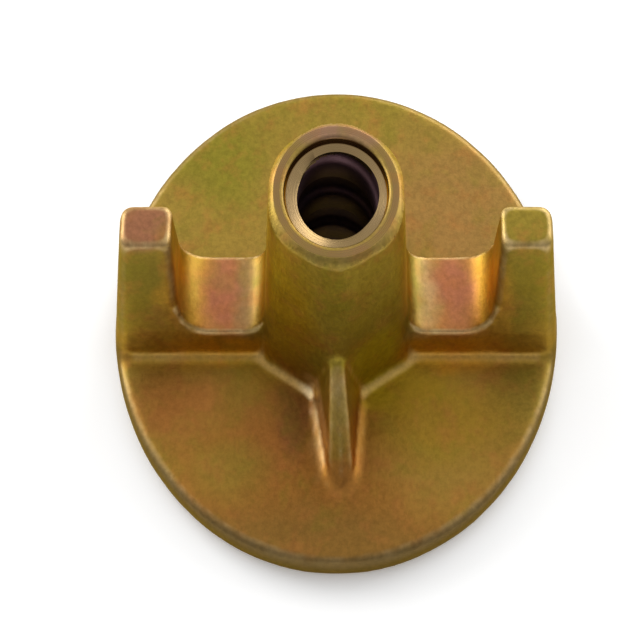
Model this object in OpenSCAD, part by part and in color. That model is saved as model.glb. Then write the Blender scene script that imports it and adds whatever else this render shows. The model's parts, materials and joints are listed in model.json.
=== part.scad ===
// Formwork wing nut, one casting: a round bearing flange, a tapered hexagonal boss
// bored for a 15 mm tie rod, two raised hammer lugs on low webs, and two short ribs.
// Millimetres. The flange's flat back is z = 0 and the bore runs along +Z. The lugs
// stand on the X axis and the ribs on the Y axis.

/* [Flange] */
// Outside diameter of the flange
flange_d = 90; // [82:1:110]
// Thickness of the flange
flange_t = 5; // [4:0.5:8]
// Radius of the flange's upper rim edge
rim_top_r = 1.5; // [0.5:0.25:2]
// Radius of the flange's lower rim edge
rim_back_r = 0.75; // [0.25:0.25:1.5]

/* [Boss] */
// Height of the whole nut, from the flange's back to the boss's turned top
nut_h = 45; // [41:1:60]
// Width across the boss's flats at the flange
boss_base_af = 29.4; // [28:0.2:32]
// Width across the boss's flats at its top
boss_top_af = 27.2; // [26:0.2:28]
// Radius of the boss's six upright corners at the flange
boss_base_corner_r = 2.5; // [1:0.5:5]
// Radius of the same corners at the top, where the boss is nearly round
boss_top_corner_r = 11; // [6:0.5:12]
// How far inside the flats the turned face's edge lies
crown_inset = 0.4; // [0.3:0.1:1]
// Rise of the foot that blends the boss into the flange
foot_r = 1.5; // [0.75:0.25:2.5]

/* [Bore] */
// Diameter of the bore over the thread's crests
bore_d = 15.6; // [15.2:0.1:16.6]
// Depth of the countersink in the boss's top
countersink_top = 2.5; // [1:0.25:3]
// Depth of the countersink in the flange's back
countersink_back = 1.5; // [0.5:0.25:2.5]

/* [Webs] */
// Height of the webs above the flange
web_h = 6.5; // [5:0.5:10]
// Thickness of webs and lugs at the flange
wing_base_t = 16; // [15.5:0.5:19]
// Thickness of the webs at their top, above which the lugs taper faster
web_top_t = 15; // [13:0.5:15.5]
// Radius of the hollow between web and lug
lug_hollow_r = 6.5; // [4:0.5:8]
// Radius of the hollow between web and boss
boss_hollow_r = 4; // [2:0.5:5]

/* [Lugs] */
// Height of the lugs above the flange
lug_h = 29; // [22:1:34]
// Thickness of the lugs at their top
lug_top_t = 8; // [6:0.5:10]
// Length of the lugs along the radius at the flange
lug_base_l = 14; // [12:0.5:16]
// Length of the lugs along the radius at their top
lug_top_l = 10.5; // [8:0.5:12]
// How far the lugs' outer face leans in from bottom to top
lug_lean = 1.2; // [0.2:0.1:2]
// Radius of the lugs' upright edges on the side of the boss
lug_inner_r = 1.8; // [1.4:0.1:2.4]
// Radius of the lugs' upright edges at the rim
lug_outer_r = 2.4; // [1.6:0.1:3]
// Radius of the edges round the lugs' tops
lug_top_r = 1.2; // [0.6:0.1:1.4]

/* [Ribs] */
// Height above the flange at which a rib's crest leaves the boss
rib_h = 12; // [8:1:20]
// Distance of a rib's toe from the bore axis
rib_reach = 32.5; // [26:0.5:38]
// Width of a rib's crest
rib_crest_w = 2.6; // [2:0.2:4]
// Width of a rib where it leaves the boss
rib_root_w = 9; // [7:0.5:13]
// Width of a rib at its toe
rib_toe_w = 5.5; // [4.5:0.5:7]

/* [Hidden] */
$fn = 96;
// Facets of the rounded corners inside a hull
corner_fn = 32;
// How deep walls are rooted in the flange, and webs and hollows in the lugs
root = 1;
// Thickness of the plates that a hull joins
plate_t = 0.1;
// How far cutters run past the faces that they cut
run_out = 1;
// How far the webs' sides stay inside the lugs' sides
web_inset = 0.1;
zinc_gold = [0.66, 0.53, 0.26];

rim_r = flange_d / 2;
bore_r = bore_d / 2;
root_z = flange_t - root;
// Distance from the axis of the boss's upright corners at the flange
boss_corner_y = corner_reach(boss_base_af, boss_base_corner_r) + boss_base_corner_r;

web_top = flange_t + web_h;
lug_top = flange_t + lug_h;
// Draft of a wing's front and rear faces below and above the web's top, as run per rise
low_draft = (wing_base_t - web_top_t) / 2 / web_h;
high_draft = (web_top_t - lug_top_t) / 2 / (lug_top - web_top);
// The lugs' outer corners at the flange lie on the rim
lug_corner_y = wing_base_t / 2 - lug_outer_r;
lug_base_x = sqrt(pow(rim_r, 2) - pow(lug_corner_y, 2));
lug_top_x = lug_base_x - lug_lean;
lug_wall_base_x = lug_base_x - lug_base_l;
lug_wall_top_x = lug_top_x - lug_top_l;
// Lean of the lugs' inner wall away from the boss
lug_wall_tan = (lug_wall_top_x - lug_wall_base_x) / lug_h;
lug_wall_angle = atan(lug_wall_tan);
web_start_x = bore_r + root + countersink_back;

// Half the thickness of a wing at height z
function wing_half(z) =
    web_top_t / 2 + (z < web_top ? (web_top - z) * low_draft : (web_top - z) * high_draft);

// Distances of a lug's inner wall and outer face from the bore axis at height z
function lug_wall_x(z) = lug_wall_base_x + (z - flange_t) * lug_wall_tan;
function lug_face_x(z) = lug_base_x - (z - flange_t) * lug_lean / lug_h;

// Half the width across the boss's flats at height z
function boss_half(z) =
    (boss_base_af + (boss_top_af - boss_base_af) * (z - flange_t) / (nut_h - flange_t)) / 2;

// Distance from the axis of the centre of a corner with radius r, for a width across flats
function corner_reach(af, r) = (af / 2 - r) / cos(30);

// Points along an arc from angle a to angle b
function arc(centre, r, a, b, steps = 6) =
    [for (i = [0:steps]) centre + r * [cos(a + (b - a) * i / steps), sin(a + (b - a) * i / steps)]];

// Flange: a revolved plate, rounded along both edges of its rim
module flange() {
    back_edge = arc([rim_r - rim_back_r, rim_back_r], rim_back_r, -90, 0, 3);
    top_edge = arc([rim_r - rim_top_r, flange_t - rim_top_r], rim_top_r, 0, 90, 4);
    rotate_extrude()
        polygon(concat([[0, 0]], back_edge, top_edge, [[0, flange_t]]));
}

// Thin hexagon with rounded corners, two of them on the Y axis
module hex_plate(af, corner_r) {
    linear_extrude(plate_t)
        rotate(30)
            offset(r = corner_r, $fn = corner_fn)
                circle(r = corner_reach(af, corner_r), $fn = 6);
}

// Boss: a hexagon at the flange that narrows and turns nearly round, with a turned top
module boss() {
    crown_r = boss_top_af / 2 - crown_inset;
    crown_drop = boss_corner_y - crown_r;
    intersection() {
        hull() {
            translate([0, 0, flange_t - plate_t])
                hex_plate(boss_base_af, boss_base_corner_r);
            translate([0, 0, nut_h - plate_t])
                hex_plate(boss_top_af, boss_top_corner_r);
        }
        rotate_extrude()
            polygon([
                [0, root_z],
                [boss_corner_y + run_out, root_z],
                [boss_corner_y + run_out, nut_h - crown_drop - run_out],
                [crown_r, nut_h],
                [0, nut_h],
            ]);
    }
    boss_foot();
}

// Sloping foot that blends the boss into the flange
module boss_foot() {
    hull() {
        translate([0, 0, flange_t - plate_t])
            hex_plate(boss_base_af + foot_r, boss_base_corner_r);
        translate([0, 0, flange_t + foot_r - plate_t])
            hex_plate(2 * boss_half(flange_t + foot_r), boss_base_corner_r);
    }
}

// Outline of a web seen from the front, with its hollows against the boss and the lug
module web_outline() {
    boss_x = boss_half(web_top);
    boss_arc = arc([boss_x, web_top] + boss_hollow_r * [1, 1], boss_hollow_r, 180, 270);
    // The lug's hollow is tangent to the web's top and to the lug's leaning wall
    hollow_x = lug_wall_x(web_top + lug_hollow_r) - lug_hollow_r / cos(lug_wall_angle);
    lug_arc = arc([hollow_x, web_top + lug_hollow_r], lug_hollow_r, 270, 360 - lug_wall_angle);
    top_z = lug_arc[len(lug_arc) - 1][1];
    end_x = lug_wall_x(top_z) + lug_inner_r + root;
    polygon(concat(
        [[end_x, root_z], [web_start_x, root_z], [web_start_x, boss_arc[0][1]]],
        boss_arc,
        lug_arc,
        [[end_x, top_z]]
    ));
}

// Section of a web seen along the wing, just inside the lug's own section
module web_section() {
    levels = [root_z, web_top, web_top + lug_hollow_r + root];
    side = [for (z = levels) [wing_half(z) - web_inset, z]];
    polygon(concat(side, mirrored(side)));
}

// The same points on the other side of the wing, in reverse order
function mirrored(points) =
    [for (i = [len(points) - 1:-1:0]) [-points[i][0], points[i][1]]];

// Web between the boss and a lug
module web() {
    intersection() {
        rotate([90, 0, 0])
            linear_extrude(wing_base_t + 2 * run_out, center = true)
                web_outline();
        rotate([90, 0, 90])
            linear_extrude(rim_r)
                web_section();
    }
}

// Rounded foot along both sides of a wing, up to the flange's rim
module wing_foot() {
    half = wing_half(flange_t + foot_r) - web_inset;
    side = concat(
        [[half + foot_r, root_z]],
        arc([half + foot_r, flange_t + foot_r], foot_r, 270, 180, 4)
    );
    intersection() {
        rotate([90, 0, 90])
            translate([0, 0, web_start_x])
                linear_extrude(rim_r - web_start_x)
                    polygon(concat(side, mirrored(side)));
        translate([0, 0, root_z])
            cylinder(r = rim_r - rim_top_r, h = web_h);
    }
}

// Pair of round discs at height z that set a lug's upright edges, rounded over at their top
module lug_discs(x, half, z, r) {
    for (side = [-1, 1])
        translate([x, side * (half - r), z])
            rotate_extrude($fn = corner_fn)
                polygon(concat(
                    [[0, 0]],
                    arc([r - lug_top_r, 0], lug_top_r, 0, 90, 4),
                    [[0, lug_top_r]]
                ));
}

// Lug: an upright, tapered on all sides and rounded at its edges
module lug() {
    hull()
        for (z = [root_z, web_top, lug_top - lug_top_r]) {
            lug_discs(lug_wall_x(z) + lug_inner_r, wing_half(z), z, lug_inner_r);
            lug_discs(lug_face_x(z) - lug_outer_r, wing_half(z), z, lug_outer_r);
        }
}

// Rib: a wedge from the boss's corner down to its toe on the flange
module rib() {
    crest_r = rib_crest_w / 2;
    start_y = bore_r + 2 * crest_r;
    toe_y = rib_reach - rib_toe_w / 2;
    crest_toe_z = flange_t + crest_r / 2;
    crest_fall = (flange_t + rib_h - crest_r - crest_toe_z) / (toe_y - boss_corner_y);
    root_spread = (rib_root_w - rib_toe_w) / (toe_y - boss_corner_y);
    start_w = rib_root_w + root_spread * (boss_corner_y - start_y);
    hull() {
        translate([0, start_y, crest_toe_z + crest_fall * (toe_y - start_y)])
            sphere(r = crest_r, $fn = corner_fn);
        translate([0, toe_y, crest_toe_z])
            sphere(r = crest_r, $fn = corner_fn);
        translate([0, toe_y, root_z])
            cylinder(d = rib_toe_w, h = root, $fn = corner_fn);
        translate([-start_w / 2, start_y, root_z])
            cube([start_w, crest_r, root]);
    }
}

// Bore with a countersink at each end
module bore_cutter() {
    back_r = bore_r + countersink_back + run_out;
    top_r = bore_r + countersink_top + run_out;
    rotate_extrude()
        polygon([
            [0, -run_out],
            [back_r, -run_out],
            [bore_r, countersink_back],
            [bore_r, nut_h - countersink_top],
            [top_r, nut_h + run_out],
            [0, nut_h + run_out],
        ]);
}

// The whole casting
module wing_nut() {
    color(zinc_gold)
        difference() {
            union() {
                flange();
                boss();
                for (side = [0, 1])
                    mirror([side, 0, 0]) {
                        web();
                        wing_foot();
                        lug();
                    }
                for (side = [0, 1])
                    mirror([0, side, 0])
                        rib();
            }
            bore_cutter();
        }
}

wing_nut();
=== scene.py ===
"""Dresses the cast formwork wing nut: a softly edged casting with its machined top and
coarse thread, in a yellow chromate finish, on a pale floor under soft studio light."""

import json
import math

import bmesh
import bpy
from mathutils import Matrix, Vector, noise


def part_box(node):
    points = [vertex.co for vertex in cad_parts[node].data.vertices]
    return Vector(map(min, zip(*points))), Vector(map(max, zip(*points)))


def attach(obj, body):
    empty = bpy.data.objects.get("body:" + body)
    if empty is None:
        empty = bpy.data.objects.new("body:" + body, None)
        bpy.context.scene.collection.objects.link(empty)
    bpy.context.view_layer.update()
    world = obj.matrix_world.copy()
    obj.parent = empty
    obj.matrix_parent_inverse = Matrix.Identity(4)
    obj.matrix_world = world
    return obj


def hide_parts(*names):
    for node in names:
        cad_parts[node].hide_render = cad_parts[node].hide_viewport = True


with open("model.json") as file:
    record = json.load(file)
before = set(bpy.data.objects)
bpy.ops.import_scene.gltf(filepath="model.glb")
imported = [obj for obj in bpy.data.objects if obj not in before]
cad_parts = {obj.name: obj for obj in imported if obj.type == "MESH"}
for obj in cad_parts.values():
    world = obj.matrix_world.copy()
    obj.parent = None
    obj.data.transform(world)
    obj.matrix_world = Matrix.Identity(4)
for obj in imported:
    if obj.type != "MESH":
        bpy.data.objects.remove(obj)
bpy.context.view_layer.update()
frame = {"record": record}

MM = 0.001
scene = bpy.context.scene
mounts = {m["name"]: m for m in frame["record"]["mounts"]}

# Sizes that the frame gives
NODE = "wing_nut"
node_low, node_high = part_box(NODE)
NUT_H = node_high.z
RIM_R = (node_high.x - node_low.x) / 2
CREST_R = mounts["tie_rod_bore"]["dims"]["r_mm"] * MM

# Turned crown, mouth and ledge, and the countersink in the back
CROWN_R = 12.8 * MM
CROWN_LIP = 0.6 * MM
MOUTH_R = 10.6 * MM
MOUTH_DEPTH = 1.5 * MM
MOUTH_LIP = 0.7 * MM
LEDGE_R = 10.1 * MM
LEDGE_FALL = 0.8 * MM
THROAT_LIP = MOUTH_LIP / 3
COUNTERSINK_BACK = 1.5 * MM
ROUND_STEPS = 128

# What a cutter's blunt end keeps clear of the thread's crests, and its depth past them
CORE_GAP = 0.2 * MM
CORE_DEPTH = 1.2 * MM

# Coarse thread: its land, flank and trimmed ends are shares of the pitch, and its start
# is an angle round the bore
THREAD_PITCH = 10 * MM
THREAD_DEPTH = 0.95 * MM
THREAD_LAND = 0.44
THREAD_FLANK = 0.12
THREAD_TRIM = 0.05
THREAD_SPARE_TURNS = 3
THREAD_STEPS = 64
THREAD_START = math.radians(125)

# Casting: its stock for machining, the mesh of its skin, and the mould's waves and sand
STOCK = 1.5 * MM
STOCK_R = 13.5 * MM
STOCK_STEPS = 96
CLEARANCE = 0.05 * MM
VOXEL = 0.5 * MM
MERGE = MM / 1000
WAVE_SIZE = 7 * MM
WAVE_DEPTH = 0.12 * MM
SAND_SIZE = 1.6 * MM
SAND_DEPTH = 0.03 * MM
SHARP_TURN = math.radians(47)

# Softening: how often each place is smoothed, and where the places lie
SKIN_PASSES = 3
HOLLOW_PASSES = 1
RIB_FOOT_PASSES = 14
RIM_PASSES = 8
FOOT_EDGE_PASSES = 18
HOLLOW_TURN = math.radians(6)
RIM_TOP_Z = 6 * MM
RIM_WIDTH = 3 * MM
FOOT_EDGE_Z = 2.6 * MM
RIB_FOOT_Z = 8 * MM
RIB_FOOT_X = 9 * MM
RIB_FOOT_Y = 16 * MM

# Lean of the front rib: none at its root and full at its toe, above the flange only,
# and fading out beside the rib and beyond its toe
RIB_ROOT_Y = 13 * MM
RIB_TOE_Y = 32.5 * MM
RIB_LEAN = 1.1 * MM
RIB_LEAN_Z = 4 * MM
RIB_SIDE_FADE = (6 * MM, 11 * MM)
RIB_TOE_FADE = (RIB_TOE_Y + 2 * MM, RIB_TOE_Y + 8 * MM)

# The layer that tells outside edges from inside corners, and how often it is evened out
EDGE_LAYER = "edge"
EDGE_SPREAD = 3


# --- helpers ---------------------------------------------------------------------------


def link(obj):
    scene.collection.objects.link(obj)
    return obj


def mesh_object(name, bm):
    """Turns a bmesh into an object at the origin, with its faces pointing outwards."""
    bmesh.ops.recalc_face_normals(bm, faces=bm.faces)
    mesh = bpy.data.meshes.new(name)
    bm.to_mesh(mesh)
    bm.free()
    return link(bpy.data.objects.new(name, mesh))


def apply_modifiers(obj):
    """Replaces an object's mesh by what its modifiers make of it."""
    depsgraph = bpy.context.evaluated_depsgraph_get()
    obj.data = bpy.data.meshes.new_from_object(obj.evaluated_get(depsgraph))
    obj.modifiers.clear()


def draw_profile(bm, profile):
    """Joins (radius, height) points into one line, ready to spin about the bore's axis."""
    verts = [bm.verts.new((r, 0, z)) for r, z in profile]
    return verts + [bm.edges.new(pair) for pair in zip(verts, verts[1:])]


def revolve(name, profile):
    """Closed solid of revolution from a profile that starts and ends on the axis."""
    bm = bmesh.new()
    bmesh.ops.spin(
        bm, geom=draw_profile(bm, profile), cent=(0, 0, 0), axis=(0, 0, 1),
        angle=2 * math.pi, steps=ROUND_STEPS, use_merge=True, use_duplicate=False,
    )
    bmesh.ops.remove_doubles(bm, verts=bm.verts, dist=MERGE)
    return mesh_object(name, bm)


def round_corner(corner, start, end, radius, steps=4):
    """Points that round a corner of a profile, between its two neighbours."""
    corner, start, end = Vector(corner), Vector(start), Vector(end)
    a = corner + (start - corner).normalized() * radius
    b = corner + (end - corner).normalized() * radius
    points = []
    for i in range(steps + 1):
        t = i / steps
        points.append(tuple((1 - t) ** 2 * a + 2 * t * (1 - t) * corner + t ** 2 * b))
    return points


def ramp(value, start, end):
    """0 before start, 1 after end, and a smooth rise between them."""
    t = min(max((value - start) / (end - start), 0), 1)
    return t * t * (3 - 2 * t)


def even_out(bm, verts, passes):
    """Smooths part of a skin, as many times as passes says."""
    for _ in range(passes):
        bmesh.ops.smooth_vert(
            bm, verts=verts, factor=0.5, use_axis_x=True, use_axis_y=True, use_axis_z=True
        )


# --- casting ---------------------------------------------------------------------------


def casting_blank():
    """The casting before machining: the bore filled and the boss a little too tall."""
    bm = bmesh.new()
    bm.from_mesh(bpy.data.objects[NODE].data)
    bmesh.ops.remove_doubles(bm, verts=bm.verts, dist=MERGE)
    depth = NUT_H + STOCK
    bmesh.ops.create_cone(
        bm, cap_ends=True, segments=STOCK_STEPS, radius1=STOCK_R, radius2=STOCK_R,
        depth=depth, matrix=Matrix.Translation((0, 0, depth / 2)),
    )
    mesh = bpy.data.meshes.new("casting")
    bm.to_mesh(mesh)
    bm.free()
    blank = link(bpy.data.objects.new("casting", mesh))
    remesh = blank.modifiers.new("skin", "REMESH")
    remesh.mode = "VOXEL"
    remesh.voxel_size = VOXEL
    apply_modifiers(blank)
    return blank


def lean_rib(blank):
    """Draws the front rib's toe a little to one side, as its pattern stood."""
    for vert in blank.data.vertices:
        ahead = -vert.co.y
        if ahead > RIB_ROOT_Y and vert.co.z > RIB_LEAN_Z:
            along = min((ahead - RIB_ROOT_Y) / (RIB_TOE_Y - RIB_ROOT_Y), 1)
            beside = 1 - ramp(abs(vert.co.x), *RIB_SIDE_FADE)
            beyond = 1 - ramp(ahead, *RIB_TOE_FADE)
            vert.co.x += RIB_LEAN * along * beside * beyond


def at_rib_foot(place):
    """Whether a place lies where a rib meets the flange."""
    return place.z < RIB_FOOT_Z and abs(place.x) < RIB_FOOT_X and abs(place.y) > RIB_FOOT_Y


def soften(blank):
    """Rounds the casting's edges, and fills its inside corners a little more."""
    bm = bmesh.new()
    bm.from_mesh(blank.data)
    even_out(bm, bm.verts, SKIN_PASSES)
    hollows = {
        vert
        for edge in bm.edges
        if edge.is_manifold and edge.calc_face_angle_signed() < -HOLLOW_TURN
        for vert in edge.verts
    }
    rib_feet = [v for v in hollows if at_rib_foot(v.co)]
    rim = [v for v in bm.verts if v.co.z < RIM_TOP_Z and v.co.xy.length > RIM_R - RIM_WIDTH]
    foot_edge = [v for v in rim if v.co.z < FOOT_EDGE_Z]
    even_out(bm, list(hollows), HOLLOW_PASSES)
    even_out(bm, rib_feet, RIB_FOOT_PASSES)
    even_out(bm, rim, RIM_PASSES)
    even_out(bm, foot_edge, FOOT_EDGE_PASSES)
    bm.to_mesh(blank.data)
    bm.free()


def sand_skin(blank):
    """Sinks the skin by the slow waves and fine grain that a sand mould leaves."""
    bm = bmesh.new()
    bm.from_mesh(blank.data)
    bm.normal_update()
    for vert in bm.verts:
        wave = 0.5 + 0.5 * noise.noise(vert.co / WAVE_SIZE)
        sand = 0.5 + 0.5 * noise.noise(vert.co / SAND_SIZE)
        vert.co -= vert.normal * (WAVE_DEPTH * wave + SAND_DEPTH * sand)
    bm.to_mesh(blank.data)
    bm.free()


def thread_profile():
    """One pitch of the thread from crest to crest, with its corners rounded."""
    land, flank = THREAD_LAND * THREAD_PITCH, THREAD_FLANK * THREAD_PITCH
    root_r = CREST_R + THREAD_DEPTH
    corners = [(CREST_R, 0), (CREST_R, land)]
    corners += [(root_r, land + flank), (root_r, THREAD_PITCH - flank)]
    corners += [(CREST_R, THREAD_PITCH)]
    profile = [corners[0]]
    for before, corner, after in zip(corners, corners[1:], corners[2:]):
        profile += round_corner(corner, before, after, flank / 2)
    return profile + [corners[-1]]


def trim_thread(bm, height, way):
    """Cuts a thread off square at a height, on the side that way points to, and caps it."""
    bmesh.ops.bisect_plane(
        bm, geom=bm.verts[:] + bm.edges[:] + bm.faces[:], dist=MERGE / 10,
        plane_co=(0, 0, height), plane_no=(0, 0, way), clear_outer=True,
    )
    open_edges = [edge for edge in bm.edges if edge.is_boundary]
    end = [edge for edge in open_edges if abs(edge.verts[0].co.z - height) < 10 * MERGE]
    bmesh.ops.holes_fill(bm, edges=end, sides=0)


def thread_cutter():
    """A rod with the tie rod's coarse thread, a little longer than the bore."""
    turns = math.ceil(NUT_H / THREAD_PITCH) + THREAD_SPARE_TURNS
    bm = bmesh.new()
    bmesh.ops.spin(
        bm, geom=draw_profile(bm, thread_profile()), cent=(0, 0, 0), axis=(0, 0, 1),
        dvec=(0, 0, THREAD_PITCH / THREAD_STEPS), angle=2 * math.pi * turns,
        steps=THREAD_STEPS * turns, use_merge=False, use_duplicate=False,
    )
    bmesh.ops.remove_doubles(bm, verts=bm.verts, dist=10 * MERGE)
    low, high = (1 + THREAD_TRIM) * THREAD_PITCH, (turns - THREAD_TRIM) * THREAD_PITCH
    trim_thread(bm, low, -1)
    trim_thread(bm, high, 1)
    bmesh.ops.translate(bm, verts=bm.verts, vec=(0, 0, (NUT_H - low - high) / 2))
    start = Matrix.Rotation(THREAD_START, 3, "Z")
    bmesh.ops.rotate(bm, verts=bm.verts, cent=(0, 0, 0), matrix=start)
    return mesh_object("thread_cutter", bm)


def chamfer_cutter():
    """The slope round the top of the boss."""
    above = NUT_H + 3 * STOCK
    reach = CROWN_R + 3 * STOCK
    slope = [(reach, NUT_H + CROWN_R - reach), (CROWN_R - 2 * STOCK, NUT_H + 2 * STOCK)]
    return revolve("chamfer_cutter", [(0, above), (reach, above), *slope, (0, slope[1][1])])


def machining_cutter():
    """What turning takes off the boss: its face, and the bore's mouth."""
    above = NUT_H + 2 * STOCK
    reach = CROWN_R + 2 * STOCK
    outside = (reach, NUT_H + CLEARANCE - (reach - CROWN_R))
    crown = (CROWN_R + CLEARANCE, NUT_H)
    mouth = (MOUTH_R, NUT_H)
    ledge = (LEDGE_R, NUT_H - MOUTH_DEPTH)
    throat = (CREST_R, ledge[1] - LEDGE_FALL)
    core = (CREST_R - CORE_GAP, throat[1] - CORE_DEPTH)
    profile = [(0, above), (reach, above), outside]
    profile += round_corner(crown, outside, mouth, CROWN_LIP)
    profile += round_corner(mouth, crown, ledge, MOUTH_LIP)
    profile += [ledge]
    profile += round_corner(throat, ledge, core, THROAT_LIP)
    profile += [core, (0, core[1])]
    return revolve("machining_cutter", profile)


def back_cutter():
    """The countersink in the flange's back, cut from a little below it."""
    below = -STOCK
    lip = (CREST_R + COUNTERSINK_BACK - below, below)
    core_r = CREST_R - CORE_GAP
    core = (core_r, COUNTERSINK_BACK + CREST_R - core_r)
    return revolve("back_cutter", [(0, below), lip, core, (0, core[1])])


def cut(body, cutter):
    """Takes a cutter's shape out of the body, and puts the cutter away."""
    modifier = body.modifiers.new("cut", "BOOLEAN")
    modifier.operation = "DIFFERENCE"
    modifier.solver = "EXACT"
    modifier.object = cutter
    apply_modifiers(body)
    bpy.data.objects.remove(cutter)


def mark_edges(body):
    """Notes how sharply the skin turns: above 0 on an outside edge, below 0 in a corner."""
    bm = bmesh.new()
    bm.from_mesh(body.data)
    bm.verts.ensure_lookup_table()
    turns = []
    for vert in bm.verts:
        angles = [edge.calc_face_angle_signed() for edge in vert.link_edges if edge.is_manifold]
        turns.append(sum(angles) / max(len(angles), 1))
    for _ in range(EDGE_SPREAD):
        evened = []
        for vert in bm.verts:
            around = sum(turns[edge.other_vert(vert).index] for edge in vert.link_edges)
            evened.append((turns[vert.index] + around) / (1 + len(vert.link_edges)))
        turns = evened
    bm.free()
    layer = body.data.attributes.new(EDGE_LAYER, "FLOAT", "POINT")
    layer.data.foreach_set("value", turns)


def casting():
    """The whole nut: cast, softened, then turned, threaded and countersunk."""
    body = casting_blank()
    cut(body, chamfer_cutter())
    lean_rib(body)
    soften(body)
    sand_skin(body)
    cut(body, machining_cutter())
    cut(body, thread_cutter())
    cut(body, back_cutter())
    mark_edges(body)
    for polygon in body.data.polygons:
        polygon.use_smooth = True
    body.data.set_sharp_from_angle(angle=SHARP_TURN)
    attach(body, "root")
    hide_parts(NODE)
    return body


# --- shader nodes ------------------------------------------------------------------------

# A patch fades in between these shares of its reach
PATCH_FADE = (1.25, 0.35)


def fill(tree, node, values):
    """Gives a node's sockets their values or links."""
    for socket, value in values.items():
        if isinstance(value, bpy.types.NodeSocket):
            tree.links.new(value, node.inputs[socket])
        else:
            node.inputs[socket].default_value = value


def add(tree, kind, values=None, **settings):
    """Adds a node, sets it, and fills its sockets."""
    made = tree.nodes.new(kind)
    for name, value in settings.items():
        setattr(made, name, value)
    fill(tree, made, values or {})
    return made


def use(tree, kit, values):
    """Places a node group in a tree."""
    return add(tree, "ShaderNodeGroup", values, node_tree=kit).outputs


def maths(tree, operation, first, second=0.0):
    return add(tree, "ShaderNodeMath", {0: first, 1: second}, operation=operation).outputs[0]


def vector_maths(tree, operation, first, second=(0, 0, 0)):
    made = add(tree, "ShaderNodeVectorMath", {0: first, 1: second}, operation=operation)
    return made.outputs["Value" if operation == "LENGTH" else "Vector"]


def spread(tree, value, low, high, to_low=0.0, to_high=1.0, smooth=False):
    """Maps a value from one range to another, held at the ends."""
    made = add(
        tree, "ShaderNodeMapRange",
        {"Value": value, "From Min": low, "From Max": high, "To Min": to_low, "To Max": to_high},
        interpolation_type="SMOOTHSTEP" if smooth else "LINEAR",
    )
    return made.outputs["Result"]


def blend(tree, amount, below, above, way="MIX"):
    """Lays one colour over another."""
    values = {0: amount, 6: below, 7: above}
    return add(tree, "ShaderNodeMix", values, data_type="RGBA", blend_type=way).outputs[2]


def from_axis(tree, place):
    """Distance of a place from the bore's axis, and its height."""
    axes = add(tree, "ShaderNodeSeparateXYZ", {"Vector": place}).outputs
    flat = add(tree, "ShaderNodeCombineXYZ", {"X": axes["X"], "Y": axes["Y"]}).outputs["Vector"]
    return vector_maths(tree, "LENGTH", flat), axes["Z"]


def near(tree, place, centre, reach):
    """1 about a place, fading to 0 a little past its reach."""
    offset = vector_maths(tree, "SUBTRACT", place, centre)
    away = vector_maths(tree, "LENGTH", vector_maths(tree, "DIVIDE", offset, reach))
    return spread(tree, away, *PATCH_FADE, smooth=True)


def mottle(tree, place, size, detail=2.0, rough=0.5):
    """Noise value whose blotches are about size millimetres across."""
    values = {"Vector": place, "Scale": 1 / size, "Detail": detail, "Roughness": rough}
    return add(tree, "ShaderNodeTexNoise", values).outputs["Fac"]


def group(name, inputs, outputs):
    """Starts a shader node group; inputs are name: (kind, value)."""
    tree = bpy.data.node_groups.new(name, "ShaderNodeTree")
    for socket, (kind, value) in inputs.items():
        made = tree.interface.new_socket(socket, in_out="INPUT", socket_type=kind)
        made.default_value = value
    for socket, kind in outputs.items():
        tree.interface.new_socket(socket, in_out="OUTPUT", socket_type=kind)
    start = tree.nodes.new("NodeGroupInput").outputs
    end = tree.nodes.new("NodeGroupOutput").inputs
    return tree, start, end


# --- finishes ----------------------------------------------------------------------------

# Colours of the chromate over the casting, some also used for painted highlight and shade
GOLD = (0.325, 0.205, 0.040, 1)
OLIVE = (0.270, 0.195, 0.030, 1)
DUSK = (0.170, 0.135, 0.020, 1)
DRAB = (0.220, 0.160, 0.016, 1)
GREEN = (0.200, 0.190, 0.018, 1)
MOSS = (0.370, 0.283, 0.018, 1)
LEAF = (0.440, 0.345, 0.013, 1)
AMBER = (0.560, 0.290, 0.035, 1)
UMBER = (0.400, 0.250, 0.012, 1)
OCHRE = (0.330, 0.200, 0.012, 1)
HONEY = (0.560, 0.360, 0.120, 1)
BROWN = (0.330, 0.140, 0.028, 1)
SADDLE = (0.230, 0.125, 0.028, 1)
COPPER = (0.400, 0.150, 0.040, 1)
RUST = (0.580, 0.260, 0.015, 1)
CLAY = (0.310, 0.125, 0.070, 1)
MAROON = (0.220, 0.085, 0.035, 1)
ROSE = (0.420, 0.150, 0.078, 1)
PINK = (0.340, 0.180, 0.140, 1)
TAN = (0.330, 0.170, 0.055, 1)
BUFF = (0.330, 0.210, 0.085, 1)
CREAM = (0.600, 0.430, 0.200, 1)
PALE = (0.900, 0.700, 0.400, 1)
CROWN = (0.265, 0.170, 0.050, 1)

# Colours of the flange's shaded rim and the turned faces, the painted shade on the mouth's
# wall, and the thread, painted dark as shade and lighter at its top as painted light
RIM_SHADE = (0.150, 0.100, 0.035, 1)
TURNED_BLUSH = (0.250, 0.145, 0.070, 1)
LEDGE_TAN = (0.255, 0.174, 0.088, 1)
MOUTH_WALL_SHADE = (0.120, 0.062, 0.018, 1)
THREAD_SHADE = (0.080, 0.050, 0.062, 1)
THREAD_WARM_SHADE = (0.120, 0.070, 0.055, 1)
THREAD_TOP_LIGHT = (0.200, 0.115, 0.130, 1)

# The bright zinc under every colour
SHEEN = (0.90, 0.72, 0.35, 1)
METALLIC = 0.96
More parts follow.
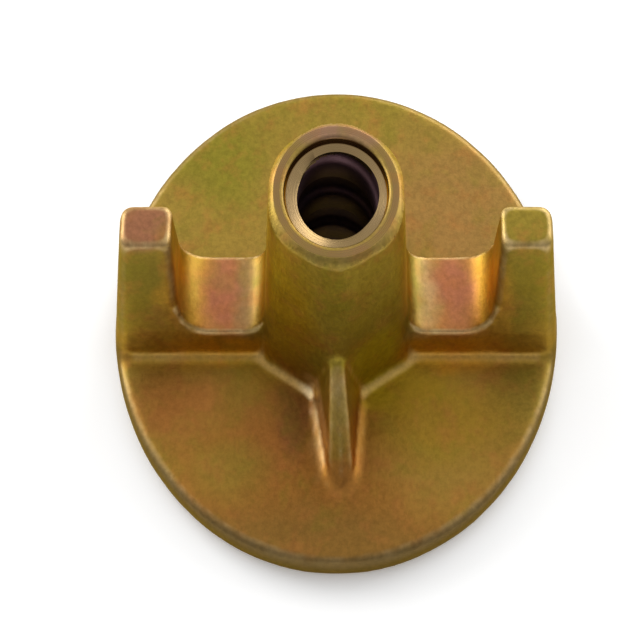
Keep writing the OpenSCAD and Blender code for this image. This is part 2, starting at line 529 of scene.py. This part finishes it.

# Where the yellow chromate turned another colour, with a few patches of painted highlight,
# shade and reflection marked below: centre and reach in millimetres, colour, and how
# strongly
TINTS = (
    ((0, -36, 5), (54, 30, 6), BROWN, 0.95),
    ((26, 20, 5), (20, 20, 4), TAN, 0.70),
    ((-24, 29, 5), (11, 9, 4), GREEN, 0.50),
    ((-32, -17, 5), (10, 8, 4), COPPER, 0.70),
    ((-12, -24, 5), (6, 9, 3), COPPER, 0.50),
    ((-21, -29, 5), (9, 6, 3), OLIVE, 0.60),
    ((22, -26, 5), (15, 13, 4), GOLD, 0.75),
    ((14, -13, 5), (12, 6, 3), LEAF, 0.35),
    # painted shade on the flange beside the front rib
    ((-8.5, -19, 5), (4, 8, 3), MAROON, 0.60),
    ((36, -14, 5), (7, 9, 3), OLIVE, 0.60),
    ((0, 0, 28), (17, 17, 24), MOSS, 0.90),
    ((-13, -11, 26), (10, 8, 24), UMBER, 0.80),
    ((7, -12, 11), (11, 7, 10), LEAF, 0.80),
    ((0, 0, 46), (22, 22, 2.2), CROWN, 0.95),
    ((2, 12, 45.5), (11, 4, 2.5), PINK, 0.70),
    ((-39, 0, 18), (9, 11, 17), DRAB, 0.85),
    ((39, 0, 18), (9, 11, 17), DRAB, 0.85),
    ((-39, -6, 28), (7, 4, 8), DUSK, 0.60),
    # painted dark reflection down the boss's front corner
    ((-0.5, -14, 36), (3.8, 6, 15), DRAB, 0.80),
    ((-5, -13, 39), (8, 6, 9), DRAB, 0.40),
    ((-33, -1, 20), (3.5, 9, 13), AMBER, 0.80),
    ((33, -1, 20), (3.5, 9, 13), AMBER, 0.80),
    ((-37, -6, 8), (12, 5, 8), AMBER, 0.55),
    ((37, -6, 8), (12, 5, 8), AMBER, 0.45),
    ((-39, 0, 35), (8, 8, 3), CLAY, 0.90),
    ((39, 0, 35), (8, 8, 3), OLIVE, 0.90),
    ((-22, 0, 12), (14, 12, 6), AMBER, 0.90),
    ((22, 0, 12), (14, 12, 6), AMBER, 0.90),
    ((-22, -8, 7.5), (13, 4, 4), RUST, 0.80),
    ((22, -8, 7.5), (13, 4, 4), RUST, 0.80),
    ((-22, 0, 12), (7, 11, 3), ROSE, 0.95),
    ((23, 0, 12), (7, 11, 3), ROSE, 0.95),
    ((17, 0, 12), (4, 11, 3), CREAM, 0.60),
    ((-17.5, 0, 12), (3.5, 11, 3), BUFF, 0.80),
    # painted highlight along the front rib's left foot
    ((-3.9, -21, 7.5), (3.4, 12, 2.7), CREAM, 0.85),
    ((-13.6, -2, 43.4), (2.6, 9, 2.6), DRAB, 0.50),
    ((15, 0, 14), (3.2, 12, 6), DUSK, 0.85),
    ((-15, 0, 14), (3.0, 12, 6), DUSK, 0.60),
    ((-29.5, 0, 14), (3.0, 11, 5), GOLD, 0.75),
    ((-6, -41, 5), (34, 8, 5), SADDLE, 0.80),
    ((20, -19, 5), (16, 10, 4), OCHRE, 0.50),
)

# The sway that draws the patches out of shape: its size and its reach in millimetres
SWAY_SIZE = 9
SWAY_REACH = (7, 7, 3)

# Blotches: their size in millimetres, the band of the noise in which they rise, and how
# much they show below and above it
BLOTCH_SIZE = 22
BLOTCH_BAND = (0.40, 0.62)
WARM_SIZE = 5
WARM_BAND = (0.50, 0.68)
WARM_AMOUNT = (0.0, 0.35)
COOL_SIZE = 6.5
COOL_BAND = (0.48, 0.30)
COOL_AMOUNT = (0.0, 0.30)
BLUSH_SIZE = 7
BLUSH_BAND = (0.4, 0.6)
BLUSH_AMOUNT = (0.25, 0.65)
TARNISH_BAND = (0.4, 0.6)

# Rubbed edges, paled partly by wear and partly as painted highlight, and painted highlights
# in inside corners: how sharply the skin turns there, and how much they pale; the rub fades
# towards the crown, and the painted highlight at the rib's foot is palest
EDGE_TURN = (0.06, 0.16)
CORNER_TURN = (-0.07, -0.17)
RUB_AND_HIGHLIGHT_PATCH_SIZE = 3
RUB_AND_HIGHLIGHT_PATCH_BAND = (0.35, 0.6)
RUB_AND_HIGHLIGHT_PATCH_AMOUNT = (0.35, 1.0)
RUB_AND_HIGHLIGHT_AMOUNT = (0.75, 0.12)
RUB_AND_HIGHLIGHT_HEIGHTS = (41, 43.5)
CORNER_HIGHLIGHT_AMOUNT = (0.75, 1.0)
RIB_FOOT = (-4.4, -20, 6)
RIB_FOOT_REACH = (3.8, 13, 4)

# Shade on the rim, from this radius outwards in millimetres, lighter up on the lugs,
# whose outer faces lean in by this much for each millimetre of height
RIM_SHADE_R = 43.4
LUG_LEAN = 0.042
RIM_SHADE_AMOUNT = (0.9, 0.5)
RIM_SHADE_HEIGHTS = (5.5, 8.5)

# Grain of the skin and marks of turning: sizes in millimetres, depths of their relief,
# the roughness from smooth to dull, and the bands of the noise that they fill
GRAIN_BAND = (0.35, 0.65)
LINES_BAND = (0.3, 0.7)
CAST_GRAIN = 0.9
CAST_RELIEF = 0.05 * MM
CAST_SHADES = (0.86, 1.1)
CAST_ROUGHNESS = (0.40, 0.52)
BROAD_GRAIN = 4.5
TURNED_PITCH = 0.35
TURNED_RELIEF = 0.02 * MM
TURNED_ROUGHNESS = (0.22, 0.34)
THREAD_GRAIN = 1.4
THREAD_RELIEF = 0.04 * MM
THREAD_ROUGHNESS = 0.45
# Heights in millimetres over which the thread turns lighter, as painted light near the mouth
THREAD_TOP_LIGHT_HEIGHTS = (34, 41)

# Depths below the crown, in millimetres, at which the ledge takes its colour and the
# mouth's wall its painted shade, and the radii between which that painted shade begins
LEDGE_DEPTHS = (0.9, 1.4)
LEDGE_AMOUNT = 0.85
WALL_DEPTHS = (0.15, 0.6)
WALL_RADII = (LEDGE_R / MM - 0.15, LEDGE_R / MM + 0.05)

# Where the finishes change: the thread's ends at the throat and just past its roots,
# and the turned one starts at the crown's face
THROAT_Z = NUT_H - MOUTH_DEPTH - LEDGE_FALL - 0.3 * MM
THREAD_OUTER_R = CREST_R + THREAD_DEPTH + CLEARANCE
TURNED_FACE_Z = NUT_H - 0.02 * MM


def tint_patch():
    """A soft patch of another colour around a place."""
    tree, start, end = group(
        "tint_patch",
        {
            "Colour": ("NodeSocketColor", GOLD),
            "Place": ("NodeSocketVector", (0, 0, 0)),
            "Centre": ("NodeSocketVector", (0, 0, 0)),
            "Reach": ("NodeSocketVector", (10, 10, 10)),
            "Tint": ("NodeSocketColor", BROWN),
            "Amount": ("NodeSocketFloat", 1.0),
        },
        {"Colour": "NodeSocketColor"},
    )
    inside = near(tree, start["Place"], start["Centre"], start["Reach"])
    amount = maths(tree, "MULTIPLY", inside, start["Amount"])
    tree.links.new(blend(tree, amount, start["Colour"], start["Tint"]), end["Colour"])
    return tree


def chromate_and_painted_light():
    """The yellow chromate's colours over the whole nut, by place in millimetres, and some painted
    light.
    """
    tree, start, end = group(
        "chromate_and_painted_light",
        {"Place": ("NodeSocketVector", (0, 0, 0))},
        {"Colour": "NodeSocketColor"},
    )
    values = {"Vector": start["Place"], "Scale": 1 / SWAY_SIZE, "Detail": 2}
    drift = add(tree, "ShaderNodeTexNoise", values).outputs["Color"]
    sway = vector_maths(tree, "SUBTRACT", drift, (0.5, 0.5, 0.5))
    sway = vector_maths(tree, "MULTIPLY", sway, SWAY_REACH)
    place = vector_maths(tree, "ADD", start["Place"], sway)
    golden = spread(tree, mottle(tree, place, BLOTCH_SIZE), *BLOTCH_BAND)
    colour = blend(tree, golden, OLIVE, GOLD)
    patch = tint_patch()
    for centre, reach, tint, amount in TINTS:
        values = {
            "Colour": colour, "Place": place, "Centre": centre,
            "Reach": reach, "Tint": tint, "Amount": amount,
        }
        colour = use(tree, patch, values)["Colour"]
    warm = mottle(tree, start["Place"], WARM_SIZE, 3, 0.6)
    colour = blend(tree, spread(tree, warm, *WARM_BAND, *WARM_AMOUNT), colour, COPPER)
    cool = mottle(tree, place, COOL_SIZE, 3, 0.6)
    colour = blend(tree, spread(tree, cool, *COOL_BAND, *COOL_AMOUNT), colour, GREEN)
    tree.links.new(colour, end["Colour"])
    return tree


def sand_grain():
    """The fine grain of a blasted casting: a height and a dullness, both 0 to 1."""
    tree, start, end = group(
        "sand_grain",
        {"Place": ("NodeSocketVector", (0, 0, 0)), "Size": ("NodeSocketFloat", 1.0)},
        {"Height": "NodeSocketFloat", "Dullness": "NodeSocketFloat"},
    )
    scale = maths(tree, "DIVIDE", 1.0, start["Size"])
    values = {"Vector": start["Place"], "Scale": scale, "Detail": 4, "Roughness": 0.65}
    fine = add(tree, "ShaderNodeTexNoise", values).outputs["Fac"]
    broad = mottle(tree, start["Place"], BROAD_GRAIN, 3, 0.55)
    both = maths(tree, "ADD", fine, broad)
    tree.links.new(fine, end["Height"])
    tree.links.new(maths(tree, "MULTIPLY", both, 0.5), end["Dullness"])
    return tree


def rubbed_and_highlit_edges():
    """Pales edges as worn plating and painted highlight, and paints highlights into inside corners.
    """
    tree, start, end = group(
        "rubbed_and_highlit_edges",
        {
            "Colour": ("NodeSocketColor", GOLD),
            "Place": ("NodeSocketVector", (0, 0, 0)),
            "Turn": ("NodeSocketFloat", 0.0),
            "RubAndHighlight": ("NodeSocketFloat", 0.6),
            "CornerHighlight": ("NodeSocketFloat", 0.5),
            "CornerHighlightColour": ("NodeSocketColor", HONEY),
        },
        {"Colour": "NodeSocketColor"},
    )
    # edges pale in patches, partly as wear and partly as painted highlight
    patches = mottle(tree, start["Place"], RUB_AND_HIGHLIGHT_PATCH_SIZE)
    patchy = spread(tree, patches, *RUB_AND_HIGHLIGHT_PATCH_BAND, *RUB_AND_HIGHLIGHT_PATCH_AMOUNT)
    outside = spread(tree, start["Turn"], *EDGE_TURN, smooth=True)
    rub_and_highlight = maths(tree, "MULTIPLY", maths(tree, "MULTIPLY", outside, patchy), start["RubAndHighlight"])
    colour = blend(tree, rub_and_highlight, start["Colour"], CREAM)
    # painted highlight in inside corners
    inside = spread(tree, start["Turn"], *CORNER_TURN, smooth=True)
    corner_highlight = maths(tree, "MULTIPLY", inside, start["CornerHighlight"])
    tree.links.new(blend(tree, corner_highlight, colour, start["CornerHighlightColour"]), end["Colour"])
    return tree


def turning_marks():
    """Fine rings round the bore, as a height from 0 to 1."""
    tree, start, end = group(
        "turning_marks",
        {"Place": ("NodeSocketVector", (0, 0, 0)), "Pitch": ("NodeSocketFloat", 0.3)},
        {"Height": "NodeSocketFloat"},
    )
    radius, height = from_axis(tree, start["Place"])
    rings = maths(tree, "DIVIDE", maths(tree, "ADD", radius, height), start["Pitch"])
    values = {"W": rings, "Scale": 1, "Detail": 2}
    marks = add(tree, "ShaderNodeTexNoise", values, noise_dimensions="1D")
    tree.links.new(marks.outputs["Fac"], end["Height"])
    return tree


def start_material(name):
    """A new plated material, with its shader and the place on the nut in millimetres."""
    material = bpy.data.materials.new(name)
    material.use_nodes = True
    tree = material.node_tree
    shader = tree.nodes["Principled BSDF"]
    fill(tree, shader, {"Metallic": METALLIC, "Specular Tint": SHEEN})
    where = add(tree, "ShaderNodeTexCoord").outputs["Object"]
    place = add(tree, "ShaderNodeVectorMath", {0: where, "Scale": 1 / MM}, operation="SCALE")
    return material, tree, shader, place.outputs["Vector"]


def relief(tree, height, depth):
    """Normals of a skin whose height, 0 to 1, stands for a depth in metres."""
    values = {"Height": height, "Distance": depth, "Strength": 1.0}
    return add(tree, "ShaderNodeBump", values).outputs["Normal"]


def cast_zinc(colours, grain):
    """Blasted iron under zinc and yellow chromate, with painted highlights at edges and corners."""
    material, tree, shader, place = start_material("cast_zinc")
    radius, height = from_axis(tree, place)
    rib_foot = near(tree, place, RIB_FOOT, RIB_FOOT_REACH)
    # edges pale partly from wear and partly as painted highlight; inside corners take a painted
    # highlight, palest at the rib's foot
    wear_and_highlights = {
        "Colour": use(tree, colours, {"Place": place})["Colour"],
        "Place": place,
        "Turn": add(tree, "ShaderNodeAttribute", attribute_name=EDGE_LAYER).outputs["Fac"],
        "RubAndHighlight": spread(tree, height, *RUB_AND_HIGHLIGHT_HEIGHTS, *RUB_AND_HIGHLIGHT_AMOUNT),
        "CornerHighlight": spread(tree, rib_foot, 0, 1, *CORNER_HIGHLIGHT_AMOUNT),
        "CornerHighlightColour": blend(tree, rib_foot, HONEY, PALE),
    }
    colour = use(tree, rubbed_and_highlit_edges(), wear_and_highlights)["Colour"]
    reach = maths(tree, "ADD", radius, maths(tree, "MULTIPLY", height, LUG_LEAN))
    rim = spread(tree, reach, RIM_SHADE_R, RIM_R / MM, smooth=True)
    lower = spread(tree, height, *RIM_SHADE_HEIGHTS, *RIM_SHADE_AMOUNT)
    colour = blend(tree, maths(tree, "MULTIPLY", rim, lower), colour, RIM_SHADE)
    skin = use(tree, grain, {"Place": place, "Size": CAST_GRAIN})
    shade = spread(tree, skin["Height"], *GRAIN_BAND, *CAST_SHADES)
    fill(tree, shader, {
        "Base Color": blend(tree, 1.0, colour, shade, "MULTIPLY"),
        "Roughness": spread(tree, skin["Dullness"], *GRAIN_BAND, *CAST_ROUGHNESS),
        "Normal": relief(tree, skin["Height"], CAST_RELIEF),
    })
    return material


def turned_zinc(colours, marks):
    """The turned face and mouth under the same plating, with painted shade on the mouth's wall."""
    material, tree, shader, place = start_material("turned_zinc")
    radius, height = from_axis(tree, place)
    crown_z = NUT_H / MM
    colour = use(tree, colours, {"Place": place})["Colour"]
    blush = spread(tree, mottle(tree, place, BLUSH_SIZE), *BLUSH_BAND, *BLUSH_AMOUNT)
    colour = blend(tree, blush, colour, TURNED_BLUSH)
    shallow, deep = LEDGE_DEPTHS
    sunk = spread(tree, height, crown_z - shallow, crown_z - deep, 0.0, LEDGE_AMOUNT)
    colour = blend(tree, sunk, colour, LEDGE_TAN)
    # painted shade on the mouth's wall
    shallow, deep = WALL_DEPTHS
    below = spread(tree, height, crown_z - shallow, crown_z - deep)
    wall = maths(tree, "MULTIPLY", spread(tree, radius, *WALL_RADII), below)
    lines = use(tree, marks, {"Place": place, "Pitch": TURNED_PITCH})["Height"]
    fill(tree, shader, {
        "Base Color": blend(tree, wall, colour, MOUTH_WALL_SHADE),
        "Roughness": spread(tree, lines, *LINES_BAND, *TURNED_ROUGHNESS),
        "Normal": relief(tree, lines, TURNED_RELIEF),
    })
    return material


def thread_zinc(grain):
    """The thread in the bore, painted dark as shade and lighter near the mouth as painted light."""
    material, tree, shader, place = start_material("thread_zinc")
    skin = use(tree, grain, {"Place": place, "Size": THREAD_GRAIN})
    # the thread's painted shade, darker or warmer at random
    tarnish = spread(tree, skin["Dullness"], *TARNISH_BAND)
    colour = blend(tree, tarnish, THREAD_SHADE, THREAD_WARM_SHADE)
    _, height = from_axis(tree, place)
    # painted light on the thread towards the top of the bore
    top = spread(tree, height, *THREAD_TOP_LIGHT_HEIGHTS)
    fill(tree, shader, {
        "Base Color": blend(tree, top, colour, THREAD_TOP_LIGHT),
        "Roughness": THREAD_ROUGHNESS,
        "Normal": relief(tree, skin["Height"], THREAD_RELIEF),
    })
    return material


def finish(nut):
    """Gives each face its finish, by where the tools reached."""
    grain = sand_grain()
    colours = chromate_and_painted_light()
    materials = nut.data.materials
    materials.clear()
    materials.append(cast_zinc(colours, grain))
    materials.append(turned_zinc(colours, turning_marks()))
    materials.append(thread_zinc(grain))
    for polygon in nut.data.polygons:
        middle = polygon.center
        out = math.hypot(middle.x, middle.y)
        if out < THREAD_OUTER_R and middle.z < THROAT_Z:
            polygon.material_index = 2
        elif middle.z > TURNED_FACE_Z or (out < MOUTH_R and middle.z >= THROAT_Z):
            polygon.material_index = 1


# --- view and stage --------------------------------------------------------------------

# Camera: how high and how far away it stands, the tilt of its film plane, its lens, what
# it stands over, and what its lens points at
VIEW_ELEVATION = math.radians(60.4)
VIEW_DISTANCE = 0.8625
PLANE_TILT = math.radians(35.7)
VIEW_LENS = 238.5
VIEW_TARGET = Vector((0, 0, 5 * MM))
VIEW_AIM = Vector((-3.3 * MM, -1.3 * MM, 5 * MM))

FLOOR_HALF = 0.9
FLOOR_WHITE = 0.90
FLOOR_GLOW = 0.18
WHITE = (1, 1, 1, 1)

# How bright the surroundings are in front and behind, and between which places they fade
ROOM_FRONT, ROOM_BACK = 0.3, 0.95
ROOM_FADE = (-0.9, 0.3)

# name, azimuth clockwise from the back, elevation, distance, width, height, glow
LAMPS = (
    ("left_wall", -60, 22, 0.6, 0.36, 0.32, 6.5),
    ("right_wall", 60, 22, 0.6, 0.36, 0.32, 3.6),
    ("back_wall", 22, 21, 0.7, 0.36, 0.22, 5.0),
    ("front_card", 180, 14, 0.8, 0.50, 0.20, 1.6),
)


def axes_matrix(x, y, z, origin):
    """Matrix whose axes are x, y and z, which need not be square to each other."""
    columns = [axis.to_4d() for axis in (x, y, z)]
    for column in columns:
        column.w = 0
    return Matrix(columns + [origin.to_4d()]).transposed()


def make_camera():
    """A long-lens camera on a stand that tilts its film plane, as a view camera can. The
    tilt draws the nut taller in the main view, and other views don't have it."""
    right = Vector((1, 0, 0))
    back = Vector((0, -math.cos(VIEW_ELEVATION), math.sin(VIEW_ELEVATION)))
    up = Vector((0, math.sin(VIEW_ELEVATION), math.cos(VIEW_ELEVATION)))
    eye = VIEW_TARGET + VIEW_DISTANCE * back
    data = bpy.data.cameras.new("view")
    data.lens = VIEW_LENS
    data.sensor_width = 36
    data.clip_end = 10
    camera = link(bpy.data.objects.new("view", data))
    square = axes_matrix(right, up, back, eye)
    plane_up = math.cos(PLANE_TILT) * up + math.sin(PLANE_TILT) * back
    tilted = axes_matrix(right, plane_up, (eye - VIEW_AIM).normalized(), eye)
    camera.parent = link(bpy.data.objects.new("view_stand", None))
    camera.matrix_parent_inverse = tilted @ square.inverted()
    camera.matrix_basis = square
    scene.camera = camera


def pale_floor():
    """A matt pale floor, whose glow shows to the eye and in metal but lights nothing."""
    material = bpy.data.materials.new("floor")
    material.use_nodes = True
    tree = material.node_tree
    rays = add(tree, "ShaderNodeLightPath").outputs
    seen = maths(tree, "MAXIMUM", rays["Is Camera Ray"], rays["Is Glossy Ray"])
    seen = maths(tree, "MAXIMUM", seen, rays["Is Transmission Ray"])
    fill(tree, tree.nodes["Principled BSDF"], {
        "Base Color": (FLOOR_WHITE, FLOOR_WHITE, FLOOR_WHITE, 1),
        "Roughness": 0.9,
        "Specular IOR Level": 0.1,
        "Emission Color": WHITE,
        "Emission Strength": maths(tree, "MULTIPLY", seen, FLOOR_GLOW),
    })
    return material


def make_stage():
    """The floor that the nut stands on."""
    bm = bmesh.new()
    bmesh.ops.create_grid(bm, x_segments=1, y_segments=1, size=FLOOR_HALF)
    floor = mesh_object("floor", bm)
    floor.data.materials.append(pale_floor())


def make_room():
    """Pale surroundings that dim towards the open front of the light tent."""
    world = bpy.data.worlds.new("light_tent")
    world.use_nodes = True
    tree = world.node_tree
    way = add(tree, "ShaderNodeTexCoord").outputs["Generated"]
    ahead = add(tree, "ShaderNodeSeparateXYZ", {"Vector": way}).outputs["Y"]
    strength = spread(tree, ahead, *ROOM_FADE, ROOM_FRONT, ROOM_BACK, smooth=True)
    fill(tree, tree.nodes["Background"], {"Color": WHITE, "Strength": strength})
    scene.world = world


def softbox(name, azimuth, elevation, distance, width, height, glow):
    """Area lamp that faces the nut; glow is how bright its face looks, with 1 as white."""
    data = bpy.data.lights.new(name, "AREA")
    data.shape = "RECTANGLE"
    data.size = width
    data.size_y = height
    data.energy = glow * math.pi * width * height
    lamp = link(bpy.data.objects.new(name, data))
    turn, rise = math.radians(azimuth), math.radians(elevation)
    way = Vector((math.sin(turn) * math.cos(rise), math.cos(turn) * math.cos(rise), math.sin(rise)))
    lamp.location = VIEW_TARGET + way * distance
    lamp.rotation_mode = "QUATERNION"
    lamp.rotation_quaternion = way.to_track_quat("Z", "Y")
    lamp.visible_camera = False


make_camera()
finish(casting())
make_stage()
make_room()
for lamp in LAMPS:
    softbox(*lamp)

scene.view_settings.view_transform = "Standard"
